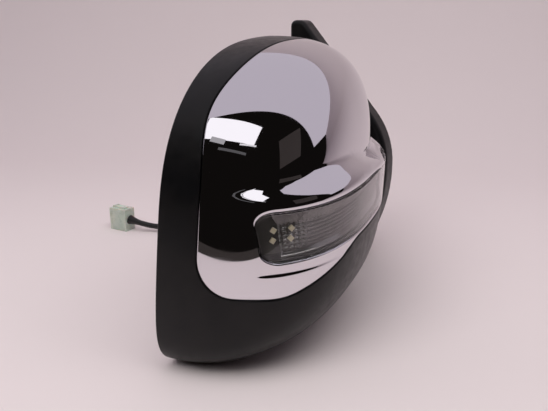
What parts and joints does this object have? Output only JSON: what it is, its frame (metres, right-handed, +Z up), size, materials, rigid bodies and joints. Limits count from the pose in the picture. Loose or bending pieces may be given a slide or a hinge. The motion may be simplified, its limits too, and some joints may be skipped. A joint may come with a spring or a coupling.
{
  "type": "car side mirror",
  "caption": "Power-folding door mirror with chromed cap, turn indicator in the housing, tilting heated glass and a wired door base.",
  "frame": {"origin": "centre of the three door studs, on the face of the gasket that meets the door", "axes": "+X outboard from the door, +Y towards the front of the vehicle, +Z up"},
  "size_m": [0.3332, 0.3451, 0.228],
  "materials": {
    "black_plastic": "fine-grained satin",
    "chrome_finish": "mirror polish",
    "cast_metal": "as cast zinc alloy",
    "steel": "zinc plated",
    "gear_plastic": "natural acetal",
    "foam_rubber": "matt",
    "cable_jacket": "taped",
    "clear_lens": "clear moulded",
    "reflector_silver": "metallised",
    "circuit_board": "solder resist",
    "led_package": "phosphor",
    "mirror_surface": "convex mirror",
    "heater_film": "film",
    "connector_plastic": "natural nylon",
    "terminal_metal": "tin plated"
  },
  "bodies": {
    "base": {"base_bracket": "cast_metal", "base_cover": "black_plastic", "door_gasket": "foam_rubber", "door_studs": "steel", "cover_screws": "steel", "cable_grommet": "foam_rubber", "pivot_post": "steel", "thrust_ring": "steel", "sun_gear": "gear_plastic", "fold_spring": "steel", "spring_retainer": "steel", "harness_cable": "cable_jacket", "connector_body": "connector_plastic", "connector_insert": "connector_plastic", "connector_terminals": "terminal_metal", "connector_latch": "connector_plastic"},
    "head": {"housing_shell": "black_plastic", "chrome_cap": "chrome_finish", "underside_cover": "black_plastic", "rim_panel": "black_plastic", "indicator_lens": "clear_lens", "indicator_tray": "black_plastic", "indicator_reflector": "reflector_silver", "indicator_board": "circuit_board", "indicator_leds": "led_package", "head_frame": "black_plastic", "housing_screws": "steel", "fold_case": "black_plastic", "fold_case_cover": "black_plastic", "fold_motor": "steel", "fold_screws": "steel", "actuator_case": "black_plastic", "actuator_cover": "black_plastic", "actuator_screws": "steel", "tilt_motor_upper": "steel", "tilt_motor_side": "steel", "cap_clips": "black_plastic"},
    "worm_wheel": {"worm_wheel": "gear_plastic"},
    "fold_worm": {"fold_worm": "steel"},
    "gimbal": {"gimbal_ring": "black_plastic"},
    "glass": {"glass_holder": "black_plastic", "heater_pad": "heater_film", "mirror_glass": "mirror_surface"},
    "jack_upper": {"jack_screw_upper": "gear_plastic"},
    "jack_side": {"jack_screw_side": "gear_plastic"},
    "nut_upper": {"jack_gear_upper": "gear_plastic"},
    "nut_side": {"jack_gear_side": "gear_plastic"},
    "worm_upper": {"tilt_worm_upper": "steel"},
    "worm_side": {"tilt_worm_side": "steel"}
  },
  "joints": [
    {"name": "head_fold", "type": "hinge", "parent": "base", "child": "head", "pos_m": [0.088, 0.029, -0.037], "axis": [0, 0, 1], "range_deg": [-60, 45]},
    {"name": "fold_wheel_spin", "type": "hinge", "parent": "head", "child": "worm_wheel", "pos_m": [0.107, 0.029, -0.033], "axis": [0, 0, 1], "range_deg": [-135, 105]},
    {"name": "fold_worm_spin", "type": "hinge", "parent": "head", "child": "fold_worm", "pos_m": [0.107, 0.0417, -0.021], "axis": [1, 0, 0], "range_deg": [-2400, 1800]},
    {"name": "glass_pitch", "type": "hinge", "parent": "head", "child": "gimbal", "pos_m": [0.193, 0.0135, 0.03], "axis": [1, 0, 0], "range_deg": [-5, 5]},
    {"name": "glass_yaw", "type": "hinge", "parent": "gimbal", "child": "glass", "pos_m": [0.193, 0.0135, 0.03], "axis": [0, 0, 1], "range_deg": [-5, 5]},
    {"name": "jack_upper_slide", "type": "slide", "parent": "head", "child": "jack_upper", "axis": [0, 1, 0], "range_m": [-0.003, 0.003]},
    {"name": "jack_side_slide", "type": "slide", "parent": "head", "child": "jack_side", "axis": [0, 1, 0], "range_m": [-0.003, 0.003]},
    {"name": "nut_upper_spin", "type": "hinge", "parent": "head", "child": "nut_upper", "pos_m": [0.193, 0.032, 0.0535], "axis": [0, 1, 0], "range_deg": [-75, 75]},
    {"name": "nut_side_spin", "type": "hinge", "parent": "head", "child": "nut_side", "pos_m": [0.2165, 0.032, 0.03], "axis": [0, 1, 0], "range_deg": [-75, 75]},
    {"name": "worm_upper_spin", "type": "hinge", "parent": "head", "child": "worm_upper", "pos_m": [0.193, 0.032, 0.04078], "axis": [-1, 0, 0], "range_deg": [-500, 500]},
    {"name": "worm_side_spin", "type": "hinge", "parent": "head", "child": "worm_side", "pos_m": [0.20378, 0.032, 0.03], "axis": [0, 0, -1], "range_deg": [-500, 500]}
  ],
  "couplings": [
    {"joint": "fold_wheel_spin", "follows": "head_fold", "ratio": 2.1667},
    {"joint": "fold_worm_spin", "follows": "head_fold", "ratio": 39},
    {"joint": "jack_upper_slide", "follows": "glass_pitch", "m_per_rad": -0.0235},
    {"joint": "nut_upper_spin", "follows": "glass_pitch", "ratio": -12.305},
    {"joint": "worm_upper_spin", "follows": "glass_pitch", "ratio": 86.132},
    {"joint": "jack_side_slide", "follows": "glass_yaw", "m_per_rad": 0.0235},
    {"joint": "nut_side_spin", "follows": "glass_yaw", "ratio": 12.305},
    {"joint": "worm_side_spin", "follows": "glass_yaw", "ratio": 86.132}
  ]
}
